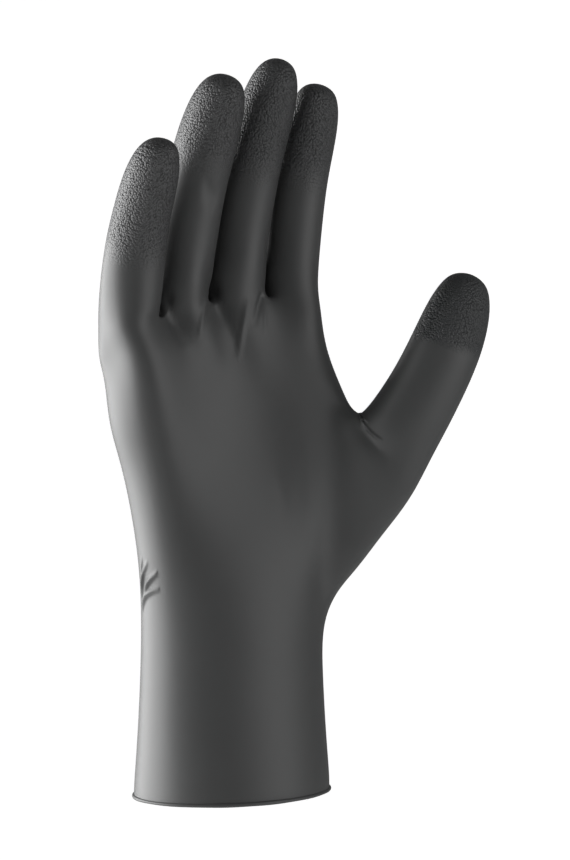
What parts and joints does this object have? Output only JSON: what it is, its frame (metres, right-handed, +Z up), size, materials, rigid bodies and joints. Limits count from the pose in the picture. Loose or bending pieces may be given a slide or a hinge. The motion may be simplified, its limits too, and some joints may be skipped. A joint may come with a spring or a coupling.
{
  "type": "nitrile exam glove",
  "caption": "Thin disposable glove with a rolled bead at its cuff, in the form that it has on a relaxed right hand.",
  "frame": {"origin": "middle of the cuff's opening, in the plane of its rim", "axes": "+Z up the forearm to the fingertips, +X to the thumb's side, -Y to the palm's side"},
  "size_m": [0.1287, 0.0779, 0.2467],
  "materials": {
    "nitrile": "satin"
  },
  "bodies": {
    "root": {"glove": "nitrile"}
  },
  "joints": []
}
